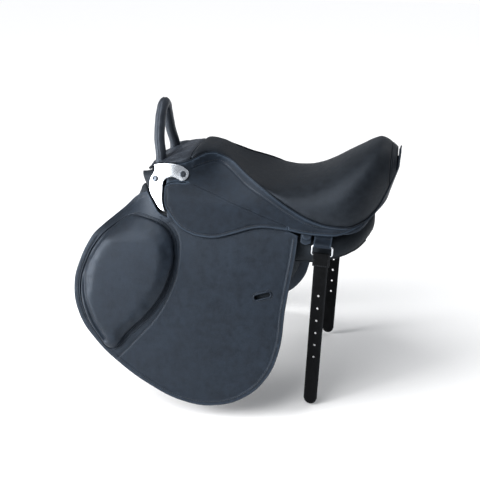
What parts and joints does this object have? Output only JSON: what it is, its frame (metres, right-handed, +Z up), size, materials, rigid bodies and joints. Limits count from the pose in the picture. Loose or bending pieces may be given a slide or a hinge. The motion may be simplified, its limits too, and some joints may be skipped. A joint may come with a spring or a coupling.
{
  "type": "jumping saddle with grab handle",
  "caption": "Close-contact jumping saddle in black leather, with a padded grab handle, polished head plates, knee pads and hanging girth straps.",
  "frame": {"origin": "on the horse's back, midway between the panels, under the deepest part of the seat", "axes": "+X to the rear (cantle), -Y to the near (left) side of the horse, +Z up"},
  "size_m": [0.5721, 0.4492, 0.5368],
  "materials": {
    "leather": "smooth black leather, semi-matt",
    "seat_leather": "soft grained black leather over foam",
    "panel_leather": "matt black leather over flocking",
    "strap_leather": "matt black strap leather",
    "webbing": "woven webbing",
    "tree": "moulded",
    "steel": "bright steel",
    "polished_plate": "polished"
  },
  "bodies": {
    "saddle": {"tree": "tree", "seat": "seat_leather", "pommel_cover": "seat_leather", "seat_web": "webbing", "handle_rod": "steel", "handle_grip": "leather", "handle_nut_left": "steel", "handle_nut_right": "steel", "stirrup_bar_left": "steel", "stirrup_bar_right": "steel", "bar_rivet_front_left": "steel", "bar_rivet_front_right": "steel", "bar_rivet_rear_left": "steel", "bar_rivet_rear_right": "steel", "catch_pin_left": "steel", "catch_pin_right": "steel", "head_pad_left": "seat_leather", "head_pad_right": "seat_leather", "head_plate_left": "polished_plate", "head_plate_right": "polished_plate", "skirt_band_left": "leather", "skirt_band_right": "leather", "sweat_flap_left": "leather", "sweat_flap_right": "leather", "front_girth_strap_left": "leather", "front_girth_strap_right": "leather", "panel_left": "panel_leather", "panel_right": "panel_leather", "plate_bolt_front_left": "steel", "plate_bolt_front_right": "steel", "plate_bolt_rear_left": "steel", "plate_bolt_rear_right": "steel", "ring_chape_left": "leather", "ring_chape_right": "leather"},
    "flap_left_body": {"flap_left": "leather", "knee_pad_left": "leather"},
    "skirt_left_body": {"skirt_left": "leather"},
    "catch_left_body": {"bar_catch_left": "steel"},
    "ring_left_body": {"girth_ring_left": "steel"},
    "strap_left_body": {"strap_loop_left": "strap_leather", "rear_girth_strap_left": "strap_leather"},
    "flap_right_body": {"flap_right": "leather", "knee_pad_right": "leather"},
    "skirt_right_body": {"skirt_right": "leather"},
    "catch_right_body": {"bar_catch_right": "steel"},
    "ring_right_body": {"girth_ring_right": "steel"},
    "strap_right_body": {"strap_loop_right": "strap_leather", "rear_girth_strap_right": "strap_leather"}
  },
  "joints": [
    {"name": "flap_fold_left", "type": "hinge", "parent": "saddle", "child": "flap_left_body", "pos_m": [-0.21717, -0.08588, 0.10266], "axis": [-0.9468, 0.1578, 0.2806], "range_deg": [0, 65]},
    {"name": "flap_fold_right", "type": "hinge", "parent": "saddle", "child": "flap_right_body", "pos_m": [-0.21717, 0.08588, 0.10266], "axis": [0.9468, 0.1578, -0.2806], "range_deg": [0, 65]},
    {"name": "skirt_fold_left", "type": "hinge", "parent": "flap_left_body", "child": "skirt_left_body", "pos_m": [-0.21717, -0.08588, 0.10266], "axis": [-0.9468, 0.1578, 0.2806], "range_deg": [0, 60]},
    {"name": "skirt_fold_right", "type": "hinge", "parent": "flap_right_body", "child": "skirt_right_body", "pos_m": [-0.21717, 0.08588, 0.10266], "axis": [0.9468, 0.1578, -0.2806], "range_deg": [0, 60]},
    {"name": "catch_pivot_left", "type": "hinge", "parent": "saddle", "child": "catch_left_body", "pos_m": [-0.0665, -0.10306, 0.04823], "axis": [0, -0.8829, 0.4695], "range_deg": [0, 90]},
    {"name": "catch_pivot_right", "type": "hinge", "parent": "saddle", "child": "catch_right_body", "pos_m": [-0.0665, 0.10306, 0.04823], "axis": [0, -0.8829, -0.4695], "range_deg": [0, 90]},
    {"name": "ring_pivot_left", "type": "hinge", "parent": "saddle", "child": "ring_left_body", "pos_m": [0.087, -0.1408, 0.0069], "axis": [-0.9994, 0, 0.0349], "range_deg": [-3, 75]},
    {"name": "ring_pivot_right", "type": "hinge", "parent": "saddle", "child": "ring_right_body", "pos_m": [0.087, 0.1408, 0.0069], "axis": [0.9994, 0, -0.0349], "range_deg": [-3, 75]},
    {"name": "strap_pivot_left", "type": "hinge", "parent": "ring_left_body", "child": "strap_left_body", "pos_m": [0.08642, -0.1408, -0.00969], "axis": [-0.9994, 0, 0.0349], "range_deg": [-8, 75]},
    {"name": "strap_pivot_right", "type": "hinge", "parent": "ring_right_body", "child": "strap_right_body", "pos_m": [0.08642, 0.1408, -0.00969], "axis": [0.9994, 0, -0.0349], "range_deg": [-8, 75]}
  ]
}
